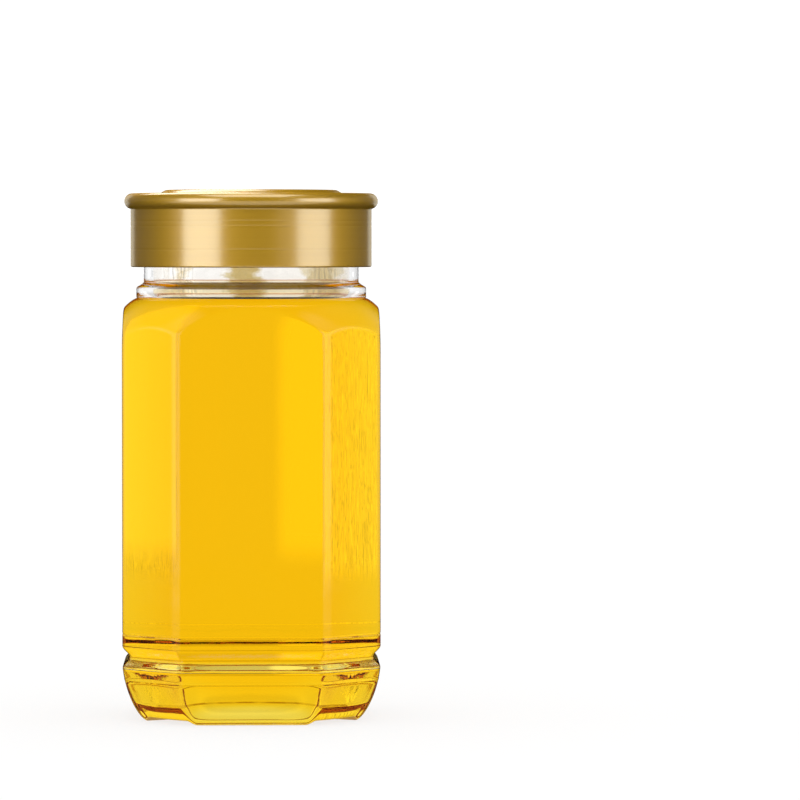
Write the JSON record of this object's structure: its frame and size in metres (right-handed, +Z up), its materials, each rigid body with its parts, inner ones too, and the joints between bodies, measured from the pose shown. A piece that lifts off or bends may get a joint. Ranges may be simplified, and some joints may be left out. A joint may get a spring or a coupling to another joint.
{
  "type": "square honey jar",
  "caption": "Clear glass jar of square plan with cut corners and a waist groove, full of golden honey, shut with a round gold screw cap.",
  "frame": {"origin": "middle of the base, on the surface that the jar stands on", "axes": "+Z up along the neck's axis; one broad face looks along -Y, towards the viewer of the picture; +X to the viewer's right"},
  "size_m": [0.0818, 0.0818, 0.1683],
  "materials": {
    "glass": "clear polished flint glass",
    "honey": "clear golden liquid honey",
    "cap": "satin gold, brushed round the axis"
  },
  "bodies": {
    "root": {"glass_jar": "glass", "honey": "honey", "cap": "cap"}
  },
  "joints": []
}
